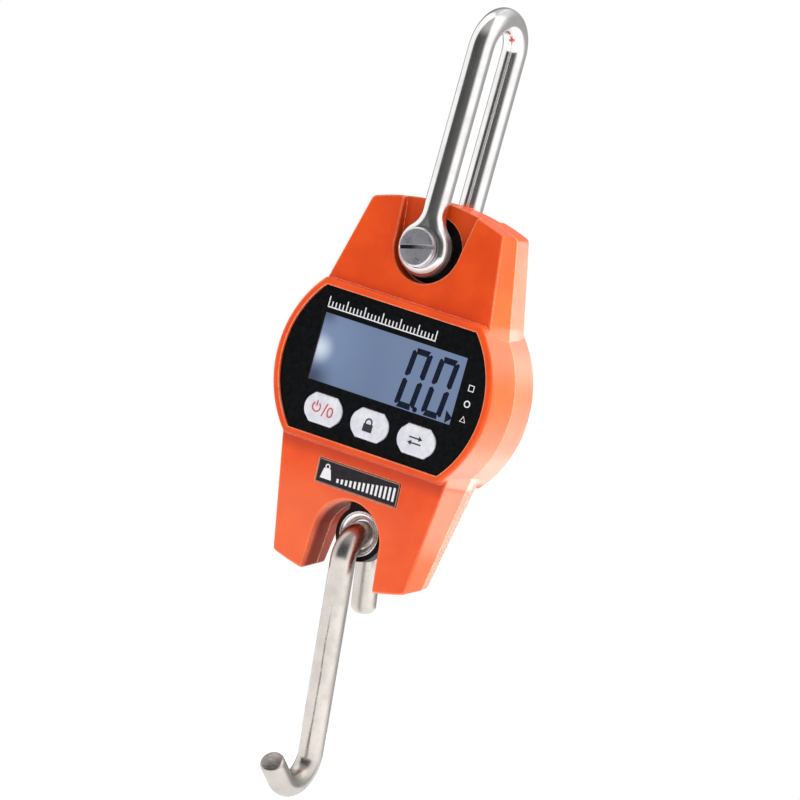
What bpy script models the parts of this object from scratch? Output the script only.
"""Hanging digital crane scale: two-part moulded case, steel load cell, forged
shackle above, S-shaped load hook below, display with three keys in front and a
sliding battery cover behind.

Scene in metres, sizes below in millimetres, +Z up.  The display faces -Y and the
back of the case faces +Y; left is -X.  The world origin is the middle of the flat
back face.  All pieces hang on an empty at the parting plane of the two case
shells, BACK_Y in front of that face, and every y below is measured from it.
"""
import bpy
import bmesh
from math import asin, cos, degrees, pi, radians, sin, sqrt
from mathutils import Matrix, Vector

for old in list(bpy.data.objects):
    bpy.data.objects.remove(old, do_unlink=True)

MM = 0.001
GAP = 0.3                      # clearance left between neighbouring pieces
FRONT, REAR = -1, 1
LEFT_RIGHT = ((-1, "left"), (1, "right"))
FRONT_REAR = ((FRONT, "front"), (REAR, "rear"))

# ---------------------------------------------------------------- shared dimensions
# In the outlines, RADIUS, CENTRE_X and HALF_H belong to a disc cut flat above and below.
BACK_Y = 12.2                  # flat back face of the display section
RIM_Y = -14.8                  # front of the raised rim round the display
FLOOR_Y = -13.1                # front of the display floor
WALL = 1.8                     # moulded wall
WAIST_Z = 26.0                 # the outer sections meet the disc at +-WAIST_Z
CROWN_CORNER_X, CROWN_CORNER_Z = 24.7, 53.8
KEEL_CORNER_X, KEEL_CORNER_Z = 25.1, -62.7
CROWN_RADIUS, KEEL_RADIUS = 70.0, 80.0
LOWER_FRONT_Y = (-12.3, -8.7)  # front face of the lower section, at waist and keel

PIN_Z = 43.0                   # shackle pin
PIN_RADIUS = 4.0
PIN = (0.0, 0.0, PIN_Z)
RING_Z = -49.8                 # ring that carries the hook
CELL_HALF_T, CELL_LOW_HALF_T = 3.5, 2.0        # load cell body, and its neck and ring lug
CELL_NECK_HALF_W = 6.0

WINDOW_X, WINDOW_Z, WINDOW_HALF_W, WINDOW_HALF_H = 0.5, 3.95, 27.15, 10.8
KEY_Z, KEY_PITCH, KEY_HALF_W, KEY_HALF_H = -14.9, 17.8, 7.1, 4.8
KEYS = {"power": -KEY_PITCH, "hold": 0.0, "unit": KEY_PITCH}
LABEL_RADIUS, LABEL_CENTRE_X, LABEL_HALF_H = 33.6, 4.1, 23.15
BOARD_Y, BOARD_T = -6.6, 1.6   # front of the main board, its thickness
BOARD_SCREW_X, BOARD_SCREW_Z = 30.5, -13.0

# Case screws.  Columns: place, x, z, front post end y, rear post end y, seat y of the head.
# The lower section is thinner at the back, so its seats lie further forward.
CASE_SCREWS = (
    ("upper_left", -20.0, 44.0, -8.0, 8.7, 4.0),
    ("upper_right", 20.0, 44.0, -8.0, 8.7, 4.0),
    ("lower_left", -19.6, -52.0, -8.6, 5.2, 2.0),
    ("lower_right", 19.6, -52.0, -8.6, 5.2, 2.0),
)

# ---------------------------------------------------------------- scene set-up
model = bpy.data.collections.new("crane_scale")
tools = bpy.data.collections.new("cutters")
for collection in (model, tools):
    bpy.context.scene.collection.children.link(collection)

frame = bpy.data.objects.new("parting_plane", None)
frame.location = (0.0, -BACK_Y * MM, 0.0)
model.objects.link(frame)


def material(name, colour, roughness, metallic=0.0, alpha=1.0):
    result = bpy.data.materials.new(name)
    result.use_nodes = True
    shader = result.node_tree.nodes["Principled BSDF"]
    shader.inputs["Base Color"].default_value = (*colour, 1.0)
    shader.inputs["Roughness"].default_value = roughness
    shader.inputs["Metallic"].default_value = metallic
    shader.inputs["Alpha"].default_value = alpha
    result.diffuse_color = (*colour, 1.0)
    return result


ORANGE = material("case_orange", (0.80, 0.085, 0.010), roughness=0.42)
BLACK = material("overlay_black", (0.010, 0.011, 0.012), roughness=0.25)
STEEL = material("forged_steel", (0.62, 0.61, 0.60), roughness=0.18, metallic=1.0)
HOOK_STEEL = material("hook_steel", (0.66, 0.64, 0.62), roughness=0.30, metallic=1.0)
ZINC = material("zinc_steel", (0.55, 0.55, 0.57), roughness=0.35, metallic=1.0)
DARK = material("blackened_steel", (0.020, 0.019, 0.019), roughness=0.45, metallic=0.6)
SILICONE = material("key_silicone", (0.70, 0.69, 0.73), roughness=0.40)
CLEAR = material("clear_acrylic", (0.86, 0.90, 0.93), roughness=0.08, alpha=0.3)
LCD = material("lcd_glass", (0.20, 0.26, 0.36), roughness=0.15)
GLOW = material("light_guide", (0.85, 0.90, 0.95), roughness=0.30)
INNER = material("inner_black", (0.03, 0.03, 0.03), roughness=0.55)
BOARD = material("board_green", (0.02, 0.16, 0.07), roughness=0.40)
CHIP = material("chip_epoxy", (0.015, 0.015, 0.016), roughness=0.50)
NICKEL = material("contact_nickel", (0.60, 0.58, 0.52), roughness=0.30, metallic=1.0)
JACKET = material("battery_jacket", (0.10, 0.12, 0.14), roughness=0.35, metallic=0.2)
FOIL = material("gauge_foil", (0.65, 0.38, 0.10), roughness=0.35, metallic=0.3)
RED = material("lead_red", (0.45, 0.01, 0.01), roughness=0.45)
GREY = material("lead_grey", (0.22, 0.22, 0.23), roughness=0.50)


# ---------------------------------------------------------------- building blocks
# Every block takes millimetres.  x, y and z given as pairs are (start, end).  With a
# surface the result is a part of the model, without one it is a hidden helper.
def around(centre, half):
    return centre - half, centre + half


def sided(side, values):
    """The values on the given side (-1 or +1) of a middle plane."""
    return tuple(side * value for value in values)


def place(obj, surface=None):
    obj.parent = frame
    if surface:
        model.objects.link(obj)
        obj.data.materials.append(surface)
    else:
        tools.objects.link(obj)
        obj.hide_render = True
        obj.display_type = 'WIRE'
    return obj


def solid(name, bm, surface=None, origin=(0, 0, 0)):
    """Bmesh in millimetres -> object in metres with its origin at `origin`."""
    bmesh.ops.recalc_face_normals(bm, faces=bm.faces)
    bm.transform(Matrix.Scale(MM, 4) @ Matrix.Translation(-Vector(origin)))
    mesh = bpy.data.meshes.new(name)
    bm.to_mesh(mesh)
    bm.free()
    return placed_mesh(name, mesh, surface, origin)


def placed_mesh(name, mesh, surface, origin):
    obj = bpy.data.objects.new(name, mesh)
    obj.location = Vector(origin) * MM
    return place(obj, surface)


def box(name, x, y, z, surface=None, origin=(0, 0, 0), tilt=Matrix.Identity(4)):
    bm = bmesh.new()
    bmesh.ops.create_cube(bm, size=1.0)
    centre = Vector([(low + high) / 2 for low, high in (x, y, z)])
    size = [abs(high - low) for low, high in (x, y, z)]
    bm.transform(Matrix.Translation(centre) @ tilt @ Matrix.Diagonal((*size, 1.0)))
    return solid(name, bm, surface, origin)


def cylinder(radius, length, segments, radius_top=None):
    """Bmesh cylinder, or cone, that stands along Z about the origin."""
    bm = bmesh.new()
    bmesh.ops.create_cone(bm, cap_ends=True, segments=segments, radius1=radius,
                          radius2=radius if radius_top is None else radius_top, depth=length)
    return bm


def rod(name, radius, y, x=0.0, z=0.0, *, segments, surface=None, origin=(0, 0, 0), turn=0.0):
    """Round bar along Y, turned about its own axis."""
    bm = cylinder(radius, abs(y[1] - y[0]), segments)
    bm.transform(Matrix.Translation((x, (y[0] + y[1]) / 2, z)) @ Matrix.Rotation(turn, 4, 'Y')
                 @ Matrix.Rotation(-pi / 2, 4, 'X'))
    return solid(name, bm, surface, origin)


def upright_rod(name, radius, length, centre, segments, surface=None):
    """Round bar along Z."""
    bm = cylinder(radius, length, segments)
    bm.transform(Matrix.Translation(centre))
    return solid(name, bm, surface)


def curve_mesh(name, curve, points, outline=False):
    """Mesh of a curve through points in metres; an outline is closed and stood
    up in the XZ plane."""
    spline = curve.splines.new('POLY')
    spline.points.add(len(points) - 1)
    for spline_point, point in zip(spline.points, points):
        spline_point.co = (*point, 1.0)
    spline.use_cyclic_u = outline
    carrier = bpy.data.objects.new(name + "_curve", curve)
    if outline:
        carrier.rotation_euler = (pi / 2, 0, 0)
    bpy.context.scene.collection.objects.link(carrier)
    bpy.context.view_layer.update()
    depsgraph = bpy.context.evaluated_depsgraph_get()
    mesh = bpy.data.meshes.new_from_object(carrier.evaluated_get(depsgraph))
    mesh.transform(carrier.matrix_world)
    bpy.data.objects.remove(carrier, do_unlink=True)
    mesh.name = name
    return mesh


def close_seams(mesh, merge_flat=False):
    bm = bmesh.new()
    bm.from_mesh(mesh)
    bmesh.ops.remove_doubles(bm, verts=bm.verts, dist=1e-6)
    if merge_flat:
        # one face for each flat side, so that a Bevel finds clean corners
        bmesh.ops.dissolve_limit(bm, angle_limit=radians(0.5), verts=bm.verts, edges=bm.edges)
    bmesh.ops.recalc_face_normals(bm, faces=bm.faces)
    bm.to_mesh(mesh)
    bm.free()


def flat(name, outline, y, surface=None, origin=(0, 0, 0)):
    """Outline of (x, z) points given a thickness along Y."""
    curve = bpy.data.curves.new(name, 'CURVE')
    curve.dimensions = '2D'
    curve.fill_mode = 'BOTH'
    curve.extrude = abs(y[1] - y[0]) / 2 * MM
    points = [((px - origin[0]) * MM, (pz - origin[2]) * MM, 0.0) for px, pz in outline]
    mesh = curve_mesh(name, curve, points, outline=True)
    mesh.transform(Matrix.Translation((0, ((y[0] + y[1]) / 2 - origin[1]) * MM, 0)))
    close_seams(mesh, merge_flat=True)
    return placed_mesh(name, mesh, surface, origin)


def wire(name, path, radius, surface, resolution, origin=(0, 0, 0)):
    """Round wire through the points, its ends closed."""
    curve = bpy.data.curves.new(name, 'CURVE')
    curve.dimensions = '3D'
    curve.bevel_depth = radius * MM
    curve.bevel_resolution = resolution
    curve.use_fill_caps = True
    points = [(Vector(point) - Vector(origin)) * MM for point in path]
    mesh = curve_mesh(name, curve, points)
    close_seams(mesh)
    return placed_mesh(name, mesh, surface, origin)


def turned(name, profile, z, steps, surface):
    """Closed profile of (radius, y) pairs turned about the line parallel to Y at height z."""
    mesh = bpy.data.meshes.new(name)
    bm = bmesh.new()
    verts = [bm.verts.new((radius * MM, 0.0, -y * MM)) for radius, y in profile]
    for start, end in zip(verts, verts[1:] + verts[:1]):
        bm.edges.new((start, end))
    bm.to_mesh(mesh)
    bm.free()
    obj = placed_mesh(name, mesh, surface, (0, 0, z))
    obj.rotation_euler = (pi / 2, 0, 0)
    screw = obj.modifiers.new("turn", 'SCREW')
    screw.axis = 'Z'
    screw.steps = screw.render_steps = steps
    screw.use_merge_vertices = True
    screw.merge_threshold = 1e-6
    screw.use_normal_calculate = True
    screw.use_normal_flip = True


def boolean(obj, other, prefix, operation):
    modifier = obj.modifiers.new(prefix + other.name, 'BOOLEAN')
    modifier.operation = operation
    modifier.solver = 'EXACT'
    modifier.object = other


def join(obj, other):
    boolean(obj, other, "join_", 'UNION')


def cut(obj, other):
    boolean(obj, other, "cut_", 'DIFFERENCE')


def bevel(obj, width, segments, angle=40.0):
    modifier = obj.modifiers.new("round_edges", 'BEVEL')
    modifier.width = width * MM
    modifier.segments = segments
    modifier.limit_method = 'ANGLE'
    modifier.angle_limit = radians(angle)


def cut_cross(screw, prefix, place_name, x, z, y, arm, half_width):
    """Cross recess in a screw head."""
    cut(screw, box(f"{prefix}_a_{place_name}", around(x, arm), y, around(z, half_width)))
    cut(screw, box(f"{prefix}_b_{place_name}", around(x, half_width), y, around(z, arm)))


def arc(centre_x, centre_z, radius, start, end, steps):
    """Points on an arc, angles in degrees."""
    angles = [radians(start + (end - start) * i / steps) for i in range(steps + 1)]
    return [(centre_x + radius * cos(a), centre_z + radius * sin(a)) for a in angles]


# ---------------------------------------------------------------- outlines
DISC_RADIUS, DISC_CENTRE_X, DISC_HALF_H = 36.2, 4.0, 25.6
UPPER_WAIST_X, LOWER_WAIST_X = 30.9, 31.3
CROWN_Z = 58.3
ROOT_Z = 10.0                  # the sections reach into the disc as far as +-ROOT_Z
CHANNEL_RADIUS, CHANNEL_Z = 12.0, 44.0
CHANNEL_MOUTH_HALF_W, CHANNEL_MOUTH_Z = 14.55, 62.0
NOTCH_RADIUS, NOTCH_Z = 12.5, -52.2
NOTCH_MOUTH_HALF_W, NOTCH_MOUTH_Z = 13.8, -70.0
# bowed side of a key: half angle in degrees, x and z radii as shares of the half height
KEY_BOW_ANGLE, KEY_BOW_X, KEY_BOW_Z = 40, 0.86, 0.602
KEY_CORNER = 0.62              # the flat edges stop this share of the half height short


def disc_outline(radius, centre_x, half_height):
    """Disc with flat top and bottom: two side arcs about (+-centre_x, 0)."""
    angle = degrees(asin(half_height / radius))
    return (arc(centre_x, 0, radius, -angle, angle, 18)
            + arc(-centre_x, 0, radius, 180 - angle, 180 + angle, 18))


def upper_outline(inset):
    """Upper section: waist to crown, the crown a shallow curve."""
    corner_x, top_z = CROWN_CORNER_X - inset, CROWN_Z - inset
    taper = (UPPER_WAIST_X - CROWN_CORNER_X) / (CROWN_CORNER_Z - WAIST_Z)
    root_x = UPPER_WAIST_X - inset + taper * (WAIST_Z - ROOT_Z)
    crown = [(x, top_z - x * x / (2 * CROWN_RADIUS))
             for x in [corner_x * (1 - i / 6.0) for i in range(13)]]
    return [(root_x, ROOT_Z)] + crown + [(-root_x, ROOT_Z)]


def lower_outline(inset):
    """Lower section: waist to keel, the keel a shallow curve."""
    corner_x = KEEL_CORNER_X - inset
    keel_z = KEEL_CORNER_Z - KEEL_CORNER_X ** 2 / (2 * KEEL_RADIUS) + inset
    taper = (LOWER_WAIST_X - KEEL_CORNER_X) / (KEEL_CORNER_Z + WAIST_Z)
    root_x = LOWER_WAIST_X - inset + taper * (ROOT_Z - WAIST_Z)
    keel = [(x, keel_z + x * x / (2 * KEEL_RADIUS))
            for x in [-corner_x * (1 - i / 6.0) for i in range(13)]]
    return [(-root_x, -ROOT_Z)] + keel + [(root_x, -ROOT_Z)]


def channel_outline(grow=0.0):
    """Round pocket about the pin that opens upwards through the crown."""
    mouth = CHANNEL_MOUTH_HALF_W + grow
    return (arc(0, CHANNEL_Z, CHANNEL_RADIUS + grow, 180, 360, 14)
            + [(mouth, CHANNEL_MOUTH_Z), (-mouth, CHANNEL_MOUTH_Z)])


def notch_outline(grow=0.0):
    """Round-topped notch that opens downwards through the keel."""
    mouth = NOTCH_MOUTH_HALF_W + grow
    return (arc(0, NOTCH_Z, NOTCH_RADIUS + grow, 0, 180, 14)
            + [(-mouth, NOTCH_MOUTH_Z), (mouth, NOTCH_MOUTH_Z)])


def key_outline(centre_x, grow=0.0):
    """Key face: flat top and bottom, bowed sides, the corners between them cut."""
    half_w, half_h = KEY_HALF_W + grow, KEY_HALF_H + grow
    bow_x = half_h * KEY_BOW_X

    def bowed_side(side, start):
        angles = [radians(start + 2 * KEY_BOW_ANGLE * i / 5) for i in range(6)]
        return [(centre_x + side * (half_w - bow_x) + bow_x * cos(a),
                 KEY_Z + half_h * KEY_BOW_Z * sin(a) / sin(radians(KEY_BOW_ANGLE)))
                for a in angles]

    edge = half_w - half_h * KEY_CORNER
    top, bottom = KEY_Z + half_h, KEY_Z - half_h
    return (bowed_side(1, -KEY_BOW_ANGLE) + [(centre_x + edge, top), (centre_x - edge, top)]
            + bowed_side(-1, 180 - KEY_BOW_ANGLE)
            + [(centre_x - edge, bottom), (centre_x + edge, bottom)])


# ---------------------------------------------------------------- case shells
# y of the sections' faces, at the waist and at the crown or keel
FACE_Y = {("upper", FRONT): (-11.2, -8.3), ("upper", REAR): (10.9, 9.2),
          ("lower", FRONT): LOWER_FRONT_Y, ("lower", REAR): (9.0, 4.9)}
FLARE = {"upper": 0.7, "lower": 1.0}           # side walls stand out this much at the parting plane
DRAFT = {("upper", FRONT): 0.072, ("lower", FRONT): 0.095,
         ("upper", REAR): 0.10, ("lower", REAR): 0.21}
FLARE_FROM_X = 21.0            # only points outside this belong to the side walls
KEEL_RISE = 0.2                # the keel rises towards the back
REAR_WALL = 2.2                # behind the hollow of the disc
CHANNEL_FLOOR = 5.7
PORT_RADIUS, PORT_Y = 10.75, (2, 7)            # recess round the load cell's lug
NECK_GAP, NECK_SLOT_Z = 0.4, (-42.0, -36.0)
BEYOND = 20                    # cutters end here, outside the case


def slope(obj, plane, z_of, y_of):
    """Tilt the face of an outline block that lies at y=plane so that it follows
    the straight line through (z_of[0], y_of[0]) and (z_of[1], y_of[1])."""
    gradient = (y_of[1] - y_of[0]) / (z_of[1] - z_of[0])
    for vert in obj.data.vertices:
        if abs(vert.co.y - plane * MM) < 1e-6:
            vert.co.y = (y_of[0] + gradient * (vert.co.z / MM - z_of[0])) * MM


def flare(obj, side, section_name, inset):
    """Draft of the side walls: widest at the parting plane, narrower towards the face.
    The corners slide along the last stretch of the crown or keel, so every wall stays flat."""
    if section_name == "upper":
        gradient = -(CROWN_CORNER_X - inset) / CROWN_RADIUS
    else:
        gradient = (KEEL_CORNER_X - inset) / KEEL_RADIUS
    for vert in obj.data.vertices:
        if abs(vert.co.x) > FLARE_FROM_X * MM:
            shift = FLARE[section_name] * MM - DRAFT[section_name, side] * side * vert.co.y
            vert.co.x += shift if vert.co.x > 0 else -shift
            # 11/12 of the corner's gradient is that of the last of the 12 straight stretches
            vert.co.z += shift * gradient * 11 / 12


def raise_keel(obj, plane, face_y):
    """Shear the lower section so that its keel rises towards the back; the face that
    lies at y=plane will end at face_y."""
    for vert in obj.data.vertices:
        y = face_y * MM if abs(vert.co.y - plane * MM) < 1e-6 else vert.co.y
        vert.co.z += KEEL_RISE * (y - LOWER_FRONT_Y[1] * MM)


def section(name, side, section_name, overlap, plane, inset=0.0):
    """Upper or lower block of a shell.  It starts `overlap` past the parting plane;
    its face is made at `plane` and then tilted."""
    face_y = [y - side * inset for y in FACE_Y[section_name, side]]
    span_y = (-side * overlap, side * plane)
    if section_name == "upper":
        block = flat(name, upper_outline(inset), span_y)
        slope(block, side * plane, (WAIST_Z, CROWN_CORNER_Z), face_y)
    else:
        block = flat(name, lower_outline(inset), span_y)
        raise_keel(block, side * plane, face_y[1])
        slope(block, side * plane, (-WAIST_Z, KEEL_CORNER_Z), face_y)
    flare(block, side, section_name, inset)
    return block


def shell(name, side):
    """One half of the case.  The blocks overlap the parting plane by different
    amounts, so that no two of their ends coincide."""
    face = RIM_Y if side == FRONT else BACK_Y
    body = flat(name, disc_outline(DISC_RADIUS, DISC_CENTRE_X, DISC_HALF_H),
                (-side * 4, face), ORANGE)
    bevel(body, 1.1, segments=2, angle=50)
    for section_name, overlap in (("upper", 5), ("lower", 6)):
        block = section(f"{name}_{section_name}", side, section_name, overlap, 8.0)
        bevel(block, 1.0, segments=2, angle=50)
        join(body, block)

    # hollow, kept a wall away from the channel and from the notch
    deep = FLOOR_Y + WALL if side == FRONT else BACK_Y - REAR_WALL
    inner_disc = flat(name + "_inner_disc",
                      disc_outline(DISC_RADIUS - WALL, DISC_CENTRE_X, DISC_HALF_H - WALL),
                      (-side * 11, deep))
    inner_upper = section(name + "_inner_upper", side, "upper", 12, 6.0, WALL)
    inner_lower = section(name + "_inner_lower", side, "lower", 13, 6.0, WALL)
    cut(inner_upper, flat(name + "_channel_core", channel_outline(WALL),
                          sided(side, (CHANNEL_FLOOR - WALL, BEYOND))))
    cut(inner_lower, flat(name + "_notch_core", notch_outline(WALL), sided(side, (-15, BEYOND))))
    for hollow in (inner_disc, inner_upper, inner_lower):
        cut(body, hollow)
    cut(body, box(name + "_parting", (-60, 60), sided(side, (-30, GAP / 2)), (-90, 90)))

    # channel for the shackle leg, port round the cell's lug, notch of the hook, cell neck
    cut(body, flat(name + "_channel", channel_outline(), sided(side, (CHANNEL_FLOOR, BEYOND))))
    cut(body, rod(name + "_port", PORT_RADIUS, sided(side, PORT_Y), z=PIN_Z, segments=36))
    cut(body, flat(name + "_notch", notch_outline(), sided(side, (-14, BEYOND))))
    cut(body, box(name + "_neck_slot", around(0, CELL_NECK_HALF_W + NECK_GAP),
                  sided(side, (-2, CELL_LOW_HALF_T + NECK_GAP)), NECK_SLOT_Z))
    return body


front = shell("front_shell", FRONT)
rear = shell("rear_shell", REAR)

# screw posts: the front ones are drilled blind, the rear ones hold the screw heads
for key, x, z, front_end, rear_end, seat in CASE_SCREWS:
    join(front, rod("post_front_" + key, 3.0, (-GAP / 2, front_end), x, z, segments=24))
    cut(front, rod("pilot_front_" + key, 1.5, (1.0, front_end + 1.2), x, z, segments=16))
    join(rear, rod("post_rear_" + key, 4.0, (GAP / 2, rear_end), x, z, segments=24))
    cut(rear, rod("clear_rear_" + key, 1.6, (-1.0, seat + 0.6), x, z, segments=16))
    cut(rear, rod("sink_rear_" + key, 2.9, (seat, 14.0), x, z, segments=20))

# display floor: overlay recess, lens opening, key holes, board posts
FLOOR_CUT_Y = (-10.0, -20.0)
LENS_OPENING_MARGIN_X, LENS_OPENING_MARGIN_Z = 0.85, 0.8

cut(front, flat("overlay_recess",
                disc_outline(LABEL_RADIUS + GAP, LABEL_CENTRE_X, LABEL_HALF_H + GAP),
                (FLOOR_Y, -20.0)))
cut(front, box("lens_opening", around(WINDOW_X, WINDOW_HALF_W + LENS_OPENING_MARGIN_X),
               FLOOR_CUT_Y, around(WINDOW_Z, WINDOW_HALF_H + LENS_OPENING_MARGIN_Z)))
for key, key_x in KEYS.items():
    cut(front, flat("key_hole_" + key, key_outline(key_x, GAP), FLOOR_CUT_Y))
for side, tag in LEFT_RIGHT:
    x = side * BOARD_SCREW_X
    join(front, rod("board_post_" + tag, 2.5, (-12.0, BOARD_Y - GAP), x, BOARD_SCREW_Z,
                    segments=20))
    cut(front, rod("board_pilot_" + tag, 1.3, (-11.6, -5.0), x, BOARD_SCREW_Z, segments=16))

# capacity plate, let into the sloping front of the lower section
PLATE_HALF_W, PLATE_HALF_H, PLATE_Z = 15.45, 3.85, -33.4
plate_slope = (LOWER_FRONT_Y[1] - LOWER_FRONT_Y[0]) / (KEEL_CORNER_Z + WAIST_Z)
plate_y = LOWER_FRONT_Y[0] + plate_slope * (PLATE_Z + WAIST_Z)
plate_tilt = Matrix.Rotation(-plate_slope, 4, 'X')

cut(front, box("plate_recess", around(0, PLATE_HALF_W + GAP), (plate_y - 0.55, plate_y + 0.65),
               around(PLATE_Z, PLATE_HALF_H + GAP), tilt=plate_tilt))
box("capacity_plate", around(0, PLATE_HALF_W), (plate_y - 0.25, plate_y + 0.35),
    around(PLATE_Z, PLATE_HALF_H), BLACK, tilt=plate_tilt)

# ---------------------------------------------------------------- battery opening and cover
RAIL_X, RAIL_Y, RAIL_HALF_L = (24.9, 28.4), (8.6, 11.0), 23.9
COVER_HALF_W, TONGUE_HALF_W = 24.7, 26.3
COVER_Z = (-25.2, 22.7)
COVER_FRONT_Y, TONGUE_BACK_Y = 10.6, 11.2
OPENING_Y, OPENING_BOTTOM = (9.0, 14.0), -22.6
WAY_Z = (-30.0, -20.0)         # the way lets the cover slide out through the lower end
GRIP_HALF_W, GRIP_DEPTH, GRIP_Z, GRIP_H, GRIP_PITCH = 9.0, 0.5, -19.5, 1.0, 2.2

for side, tag in LEFT_RIGHT:
    join(rear, box("rail_" + tag, sided(side, RAIL_X), RAIL_Y, around(0, RAIL_HALF_L)))
opening_x = around(0, COVER_HALF_W + GAP)
opening_top = COVER_Z[1] + GAP
way_y = COVER_FRONT_Y - GAP
cut(rear, box("cover_opening", opening_x, OPENING_Y, (OPENING_BOTTOM, opening_top)))
cut(rear, box("cover_way", opening_x, (way_y, OPENING_Y[1]), WAY_Z))
cut(rear, box("cover_groove", around(0, TONGUE_HALF_W + GAP), (way_y, TONGUE_BACK_Y + GAP),
              (WAY_Z[0], opening_top)))

cover = box("battery_cover", around(0, COVER_HALF_W), (COVER_FRONT_Y, BACK_Y), COVER_Z, ORANGE)
join(cover, box("cover_tongue", around(0, TONGUE_HALF_W), (COVER_FRONT_Y, TONGUE_BACK_Y),
                COVER_Z))
for i in range(4):
    grip_z = GRIP_Z + GRIP_PITCH * i
    cut(cover, box(f"cover_grip_{i}", around(0, GRIP_HALF_W), (BACK_Y - GRIP_DEPTH, BACK_Y + 1.0),
                   (grip_z, grip_z + GRIP_H)))

# ---------------------------------------------------------------- display stack
OVERLAY_Y = (-14.0, -13.4)
OVERLAY_CUT_Y = (-12.0, -16.0)
LENS_Y, LENS_MARGIN_X, LENS_MARGIN_Z = (-13.1, -11.6), 0.5, 0.45
LCD_HALF_W, LCD_Y, LCD_Z = 30, (-10.8, -9.0), (-8.5, 16.5)
BACKLIGHT_HALF_W, BACKLIGHT_Z = 29, (-8.0, 16.0)
HOLDER_HALF_W, HOLDER_FRONT_Y, HOLDER_TOP = 32, -10.9, 18.4
ON_BOARD_Y = (-8.7, BOARD_Y - GAP)             # parts that stand on the front of the board

overlay = flat("display_overlay", disc_outline(LABEL_RADIUS, LABEL_CENTRE_X, LABEL_HALF_H),
               OVERLAY_Y, BLACK)
cut(overlay, box("overlay_window", around(WINDOW_X, WINDOW_HALF_W), OVERLAY_CUT_Y,
                 around(WINDOW_Z, WINDOW_HALF_H)))
for key, key_x in KEYS.items():
    cut(overlay, flat("overlay_key_" + key, key_outline(key_x, GAP), OVERLAY_CUT_Y))

lens = box("display_lens", around(WINDOW_X, WINDOW_HALF_W + LENS_MARGIN_X), LENS_Y,
           around(WINDOW_Z, WINDOW_HALF_H + LENS_MARGIN_Z), CLEAR)
bevel(lens, 0.25, segments=1)
box("lcd_panel", around(WINDOW_X, LCD_HALF_W), LCD_Y, LCD_Z, LCD)
box("lcd_backlight", around(WINDOW_X, BACKLIGHT_HALF_W), ON_BOARD_Y, BACKLIGHT_Z, GLOW)
holder = box("lcd_holder", around(WINDOW_X, HOLDER_HALF_W), (HOLDER_FRONT_Y, ON_BOARD_Y[1]),
             (LCD_Z[0], HOLDER_TOP), INNER)
cut(holder, box("holder_opening", around(WINDOW_X, LCD_HALF_W + GAP), (-12, -5),
                (-12, LCD_Z[1] + GAP)))

# ---------------------------------------------------------------- main board
BOARD_OUTLINE = [              # x, z
    (33, -12), (33, 12), (28.5, 20), (-28.5, 20),
    (-33, 12), (-33, -12), (-28.5, -20.5), (28.5, -20.5),
]
BOARD_PART_Y = BOARD_Y + BOARD_T + GAP         # parts behind the board start here
BUZZER_X, BUZZER_Z = -28.6, 5.0

board = flat("main_board", BOARD_OUTLINE, (BOARD_Y, BOARD_Y + BOARD_T), BOARD)
for side, tag in LEFT_RIGHT:
    spot = (side * BOARD_SCREW_X, BOARD_SCREW_Z)
    cut(board, rod("board_hole_" + tag, 1.4, (-8, -3), *spot, segments=16))
    board_screw = rod("board_screw_" + tag, 2.2, (BOARD_PART_Y, -3.5), *spot,
                      segments=20, surface=ZINC)
    join(board_screw, rod("board_shank_" + tag, 1.0, (-10.5, -4.0), *spot, segments=12))
    cut_cross(board_screw, "board_cross", tag, *spot, (-4.0, -3.0), arm=1.3, half_width=0.3)

chip = box("controller_chip", (25.2, 32.2), (BOARD_PART_Y, -3.3), (-0.5, 6.5), CHIP)
bevel(chip, 0.3, segments=1)
buzzer = rod("buzzer", 4.4, (BOARD_PART_Y, -0.9), BUZZER_X, BUZZER_Z, segments=28, surface=CHIP)
cut(buzzer, rod("buzzer_port", 1.0, (-2.0, 0.5), BUZZER_X, BUZZER_Z, segments=12))
connector = box("gauge_connector", (-20.0, -13.4), (BOARD_PART_Y, -2.3), (15.6, 18.6), GLOW)
bevel(connector, 0.25, segments=1)

# ---------------------------------------------------------------- keys and their switches
CAP_Y, FLANGE_Y, PLUNGER_Y = (-14.9, -10.6), (-11.0, -10.2), (-9.2, -8.0)
KEY_ORIGIN_Y = -12.0
FLANGE_MARGIN, SWITCH_HALF_W, PLUNGER_RADIUS = 1.0, 3, 1.7

for key, key_x in KEYS.items():
    origin = (key_x, KEY_ORIGIN_Y, KEY_Z)
    cap = flat(key + "_button", key_outline(key_x), CAP_Y, SILICONE, origin)
    bevel(cap, 0.45, segments=2, angle=50)
    join(cap, flat(key + "_button_flange", key_outline(key_x, FLANGE_MARGIN), FLANGE_Y,
                   origin=origin))
    switch = box(key + "_switch", around(key_x, SWITCH_HALF_W), ON_BOARD_Y,
                 around(KEY_Z, SWITCH_HALF_W), INNER)
    join(switch, rod(key + "_switch_plunger", PLUNGER_RADIUS, PLUNGER_Y, key_x, KEY_Z,
                     segments=16))

# ---------------------------------------------------------------- load cell and gauges
CELL_HALF_W, CELL_LUG_RADIUS = 10.0, 10.4
CELL_SHOULDER_Z, CELL_FOOT_HALF_W, CELL_FOOT_Z = -32, 7.5, -35.0
CELL_NECK_TOP = -33.0
CELL_RING_LUG_RADIUS, CELL_RING_BORE = 8.8, 6.7
CELL_EYE_RADIUS, CELL_EYE_Z, CELL_SLOT_HALF_W = 5.4, 9.0, 1.4
CELL_CUT_Y = (-6, 6)
GAUGE_T, GAUGE_HALF_W, GAUGE_HALF_L = 0.4, 2.2, 4.0
GAUGE_CABLE_PATH = [           # x, y, z
    (-11.3, 0, 4.6), (-11.3, 0, 17.0), (-11.6, -1.0, 19.6),
    (-13.0, -2.6, 21.0), (-16.6, -3.4, 21.0), (-16.7, -3.5, 19.2),
]

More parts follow.
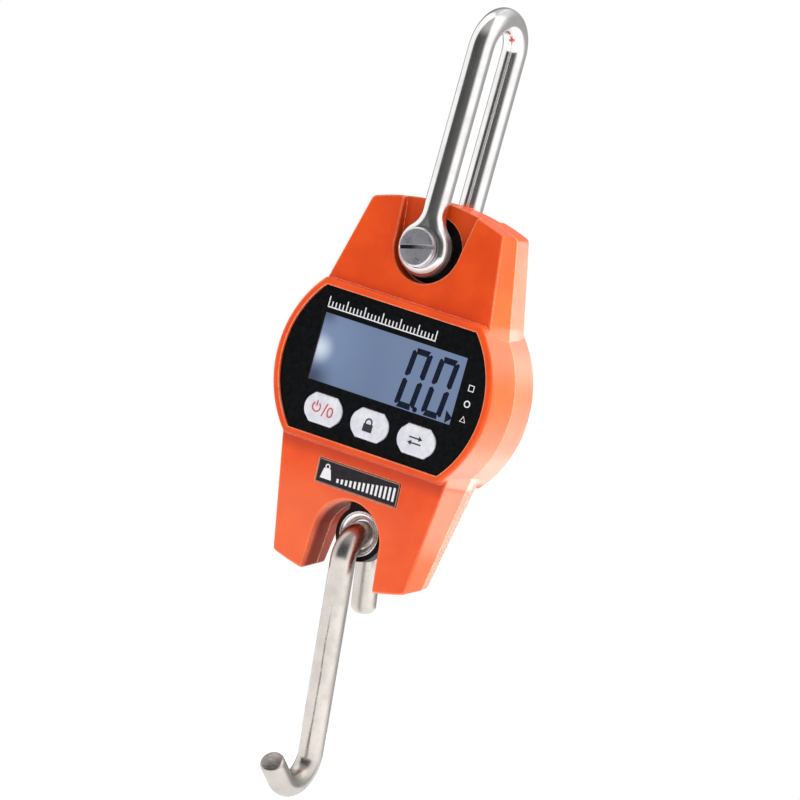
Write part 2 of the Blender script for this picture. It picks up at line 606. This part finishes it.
cell_y, cell_low_y = around(0, CELL_HALF_T), around(0, CELL_LOW_HALF_T)
cell = flat("load_cell",
            [(CELL_HALF_W, CELL_SHOULDER_Z), (CELL_HALF_W, PIN_Z),
             (-CELL_HALF_W, PIN_Z), (-CELL_HALF_W, CELL_SHOULDER_Z),
             (-CELL_FOOT_HALF_W, CELL_FOOT_Z), (CELL_FOOT_HALF_W, CELL_FOOT_Z)],
            cell_y, DARK)
join(cell, rod("cell_lug", CELL_LUG_RADIUS, cell_y, z=PIN_Z, segments=40))
join(cell, box("cell_neck", around(0, CELL_NECK_HALF_W), cell_low_y, (RING_Z, CELL_NECK_TOP)))
join(cell, rod("cell_ring_lug", CELL_RING_LUG_RADIUS, cell_low_y, z=RING_Z, segments=36))
cut(cell, rod("cell_pin_bore", PIN_RADIUS + GAP, CELL_CUT_Y, z=PIN_Z, segments=28))
cut(cell, rod("cell_ring_bore", CELL_RING_BORE, CELL_CUT_Y, z=RING_Z, segments=36))
for i, eye_z in enumerate((-CELL_EYE_Z, CELL_EYE_Z)):
    cut(cell, rod(f"cell_eye_{i}", CELL_EYE_RADIUS, CELL_CUT_Y, z=eye_z, segments=28))
cut(cell, box("cell_slot", around(0, CELL_SLOT_HALF_W), CELL_CUT_Y, around(0, CELL_EYE_Z)))

gauge_x = CELL_HALF_W + GAP
for side, tag in LEFT_RIGHT:
    box("strain_gauge_" + tag, sided(side, (gauge_x, gauge_x + GAUGE_T)),
        around(0, GAUGE_HALF_W), around(0, GAUGE_HALF_L), FOIL)
wire("gauge_cable", GAUGE_CABLE_PATH, 0.65, GREY, resolution=1)

# ---------------------------------------------------------------- batteries, contacts, leads
BATTERY_X, BATTERY_Y, BATTERY_RADIUS, BATTERY_L = 17.5, 4.4, 5.25, 44.5
BATTERY_SHIFT = 0.35           # each battery is shifted away from its nub
NUB_RADIUS, NUB_L, NUB_Z = 1.9, 2.0, 21.75
CRADLE_X, CRADLE_Y, CRADLE_HALF_L = (12.2, 23.8), (-2.0, 3.2), 15.0
CONTACT_X, CONTACT_Y, CONTACT_Z = (12.6, 24.6), (0.2, 8.4), (-23.45, -23.1)
SERIES_HALF_W, SERIES_Y, SERIES_Z = 22.6, (4.1, 8.4), (23.1, 23.45)
LEAD_PATH = [                  # x of the right lead, y, z
    (24.0, 1.2, -22.3), (25.3, -0.6, -20.4), (25.3, -3.2, -18.6),
    (25.3, -4.05, -16.0), (25.3, -4.05, -12.0),
]

for side, tag in LEFT_RIGHT:
    x = side * BATTERY_X
    battery = upright_rod("battery_" + tag, BATTERY_RADIUS, BATTERY_L,
                          (x, BATTERY_Y, side * BATTERY_SHIFT), 28, JACKET)
    bevel(battery, 0.4, segments=1)
    join(battery, upright_rod("battery_nub_" + tag, NUB_RADIUS, NUB_L,
                              (x, BATTERY_Y, -side * NUB_Z), 16))
    cradle = box("battery_cradle_" + tag, sided(side, CRADLE_X), CRADLE_Y,
                 around(0, CRADLE_HALF_L), INNER)
    cut(cradle, upright_rod("cradle_trough_" + tag, BATTERY_RADIUS + GAP, 60.0,
                            (x, BATTERY_Y, 0), 28))
    box("battery_contact_" + tag, sided(side, CONTACT_X), CONTACT_Y, CONTACT_Z, NICKEL)
    wire("battery_lead_" + tag, [(side * x, y, z) for x, y, z in LEAD_PATH], 0.6,
         RED if side > 0 else GREY, resolution=1)
box("series_contact", around(0, SERIES_HALF_W), SERIES_Y, SERIES_Z, NICKEL)

# ---------------------------------------------------------------- case screws
for key, x, z, _, _, seat in CASE_SCREWS:
    head_y = seat + GAP
    case_screw = rod("case_screw_" + key, 2.6, (head_y, head_y + 1.9), x, z,
                     segments=22, surface=ZINC)
    join(case_screw, rod("shank_" + key, 1.2, (-5.2, head_y + 0.5), x, z, segments=14))
    cut_cross(case_screw, "cross", key, x, z, (head_y + 1.0, head_y + 2.7),
              arm=1.5, half_width=0.35)

# ---------------------------------------------------------------- shackle
EYE_RADIUS, EYE_T = 9.2, 6.6
LEG_Y, LEG_RADIUS, BOW_Z = 10.3, 4.0, 107.9
LEG_FOOT, LEG_MIDDLE_Z = 7.0, 75.0             # foot above the pin; point partway up
NECK_FOOT_RADIUS, NECK_L, NECK_FOOT = 6.9, 11.5, 6.0
NECK_FLATNESS = 0.47           # y scale of the neck at its foot
ACROSS_Y = (-20, 20)           # bores run right through


def bow_path():
    """Up the front leg, over the bow and down the rear leg."""
    front_leg = [(-LEG_Y, PIN_Z + LEG_FOOT), (-LEG_Y, LEG_MIDDLE_Z)]
    rear_leg = [(LEG_Y, LEG_MIDDLE_Z), (LEG_Y, PIN_Z + LEG_FOOT)]
    return [(0, y, z) for y, z in front_leg + arc(0, BOW_Z, LEG_Y, 180, 0, 16) + rear_leg]


def shackle_neck(name, side):
    """Cone between eye and leg, flattened towards the eye's thickness at its foot."""
    bm = cylinder(NECK_FOOT_RADIUS, NECK_L, 24, radius_top=LEG_RADIUS - 0.05)
    for vert in bm.verts:
        height = (vert.co.z + NECK_L / 2) / NECK_L
        vert.co.y *= NECK_FLATNESS + (1 - NECK_FLATNESS) * height
    bm.transform(Matrix.Translation((0, side * LEG_Y, PIN_Z + NECK_FOOT + NECK_L / 2)))
    return solid(name, bm, origin=PIN)


shackle = wire("shackle", bow_path(), LEG_RADIUS, STEEL, resolution=4, origin=PIN)
for side, tag in FRONT_REAR:
    eye = rod("eye_" + tag, EYE_RADIUS, around(side * LEG_Y, EYE_T / 2), z=PIN_Z,
              segments=40, origin=PIN)
    bevel(eye, 1.6, segments=2, angle=50)
    join(shackle, eye)
    join(shackle, shackle_neck("neck_" + tag, side))
cut(shackle, rod("shackle_bore", PIN_RADIUS + GAP, ACROSS_Y, z=PIN_Z, segments=28, origin=PIN))

# ---------------------------------------------------------------- shackle screw, nut, spacers
HEAD_RADIUS, HEAD_T, SHANK_END = 6.3, 2.4, 19.4
SLOT_HALF_L, SLOT_HALF_W, SLOT_ANGLE = 10, 0.65, -14
NUT_RADIUS, NUT_T = 7.2, 4.5
SPACER_RADIUS = 7.0
outside_y = LEG_Y + EYE_T / 2 + GAP            # clear of the outer faces of the eyes

head_front = -outside_y - HEAD_T
screw = rod("shackle_screw", HEAD_RADIUS, (-outside_y, head_front), z=PIN_Z,
            segments=36, surface=ZINC, origin=PIN)
bevel(screw, 0.35, segments=1, angle=50)
join(screw, rod("screw_shank", PIN_RADIUS, (-outside_y - 1.0, SHANK_END), z=PIN_Z,
                segments=28, origin=PIN))
cut(screw, box("screw_slot", around(0, SLOT_HALF_L), around(head_front, HEAD_T / 2),
               around(PIN_Z, SLOT_HALF_W), origin=PIN,
               tilt=Matrix.Rotation(radians(SLOT_ANGLE), 4, 'Y')))

nut = rod("shackle_nut", NUT_RADIUS, (outside_y, outside_y + NUT_T), z=PIN_Z,
          segments=6, surface=ZINC, origin=PIN, turn=pi / 6)
cut(nut, rod("nut_bore", PIN_RADIUS + GAP, (10, 22), z=PIN_Z, segments=28, origin=PIN))

spacer_y = (CELL_HALF_T + GAP, LEG_Y - EYE_T / 2 - GAP)
for side, tag in FRONT_REAR:
    spacer = rod(tag + "_spacer", SPACER_RADIUS, sided(side, spacer_y), z=PIN_Z,
                 segments=32, surface=ZINC)
    cut(spacer, rod(tag + "_spacer_bore", PIN_RADIUS + GAP, ACROSS_Y, z=PIN_Z, segments=28))

# ---------------------------------------------------------------- hook ring
RING_HOLE, RING_TUBE, RING_FLANGE = 4.6, 2.5, 7.25


def ring_profile():
    """Rounded throat, front flange, plain body that sits in the cell."""
    tube_centre = RING_HOLE + RING_TUBE
    body_radius = CELL_RING_BORE - GAP
    body_end = sqrt(RING_TUBE ** 2 - (tube_centre - body_radius) ** 2)
    flange_rear = -(CELL_LOW_HALF_T + GAP)

    def throat(angle):
        return (tube_centre - RING_TUBE * cos(radians(angle)), RING_TUBE * sin(radians(angle)))

    front_lip = [throat(-angle) for angle in range(0, 91, 15)]
    # the rear lip runs back inwards from inside the body's radius
    rear_lip = [throat(angle) for angle in range(60, 0, -15)]
    outside = [(RING_FLANGE, -RING_TUBE), (RING_FLANGE, flange_rear),
               (body_radius, flange_rear), (body_radius, body_end)]
    return front_lip + outside + rear_lip


turned("hook_ring", ring_profile(), RING_Z, steps=40, surface=STEEL)

# ---------------------------------------------------------------- hook
HOOK_RADIUS = 4.05
HOOK_Z, UPPER_BEND_RADIUS = -57.3, 7.7
LOWER_BEND_Z, LOWER_BEND_RADIUS = -123.4, 9.0
SPINE_LEAN, STUB_LEAN, TIP_RISE = 11.5, 16.0, 36.0     # degrees
STUB_L, TIP_L = 20.6, 10.2


def hook_path():
    """Centre line in the YZ plane: stub, upper bend, leaning spine, lower bend, tip."""
    upper_bend = arc(0, HOOK_Z, UPPER_BEND_RADIUS, STUB_LEAN, 180.0 + SPINE_LEAN, 18)
    stub_y, stub_z = upper_bend[0]
    stub_end = (stub_y + STUB_L * sin(radians(STUB_LEAN)),
                stub_z - STUB_L * cos(radians(STUB_LEAN)))

    # the spine meets the lower bend as a tangent on its rear side
    spine_y, spine_z = upper_bend[-1]
    lean_sin, lean_cos = sin(radians(SPINE_LEAN)), cos(radians(SPINE_LEAN))
    spine_l = (spine_z - (LOWER_BEND_Z + LOWER_BEND_RADIUS * lean_sin)) / lean_cos
    bend_y = spine_y + lean_sin * spine_l - LOWER_BEND_RADIUS * lean_cos
    lower_bend = arc(bend_y, LOWER_BEND_Z, LOWER_BEND_RADIUS, SPINE_LEAN, -90.0 - TIP_RISE, 18)

    tip_y, tip_z = lower_bend[-1]
    tip = (tip_y - cos(radians(TIP_RISE)) * TIP_L, tip_z + sin(radians(TIP_RISE)) * TIP_L)
    return [(0, y, z) for y, z in [stub_end] + upper_bend + lower_bend + [tip]]


hook = wire("hook", hook_path(), HOOK_RADIUS, HOOK_STEEL, resolution=4, origin=(0, 0, HOOK_Z))
weld = hook.modifiers.new("weld", 'WELD')
weld.merge_threshold = 1e-6
bevel(hook, 0.9, segments=1, angle=60)

# ---------------------------------------------------------------- finish: smooth round faces
for obj in model.objects:
    if obj.type == 'MESH':
        obj.data.shade_smooth()
        obj.data.set_sharp_from_angle(angle=radians(35))
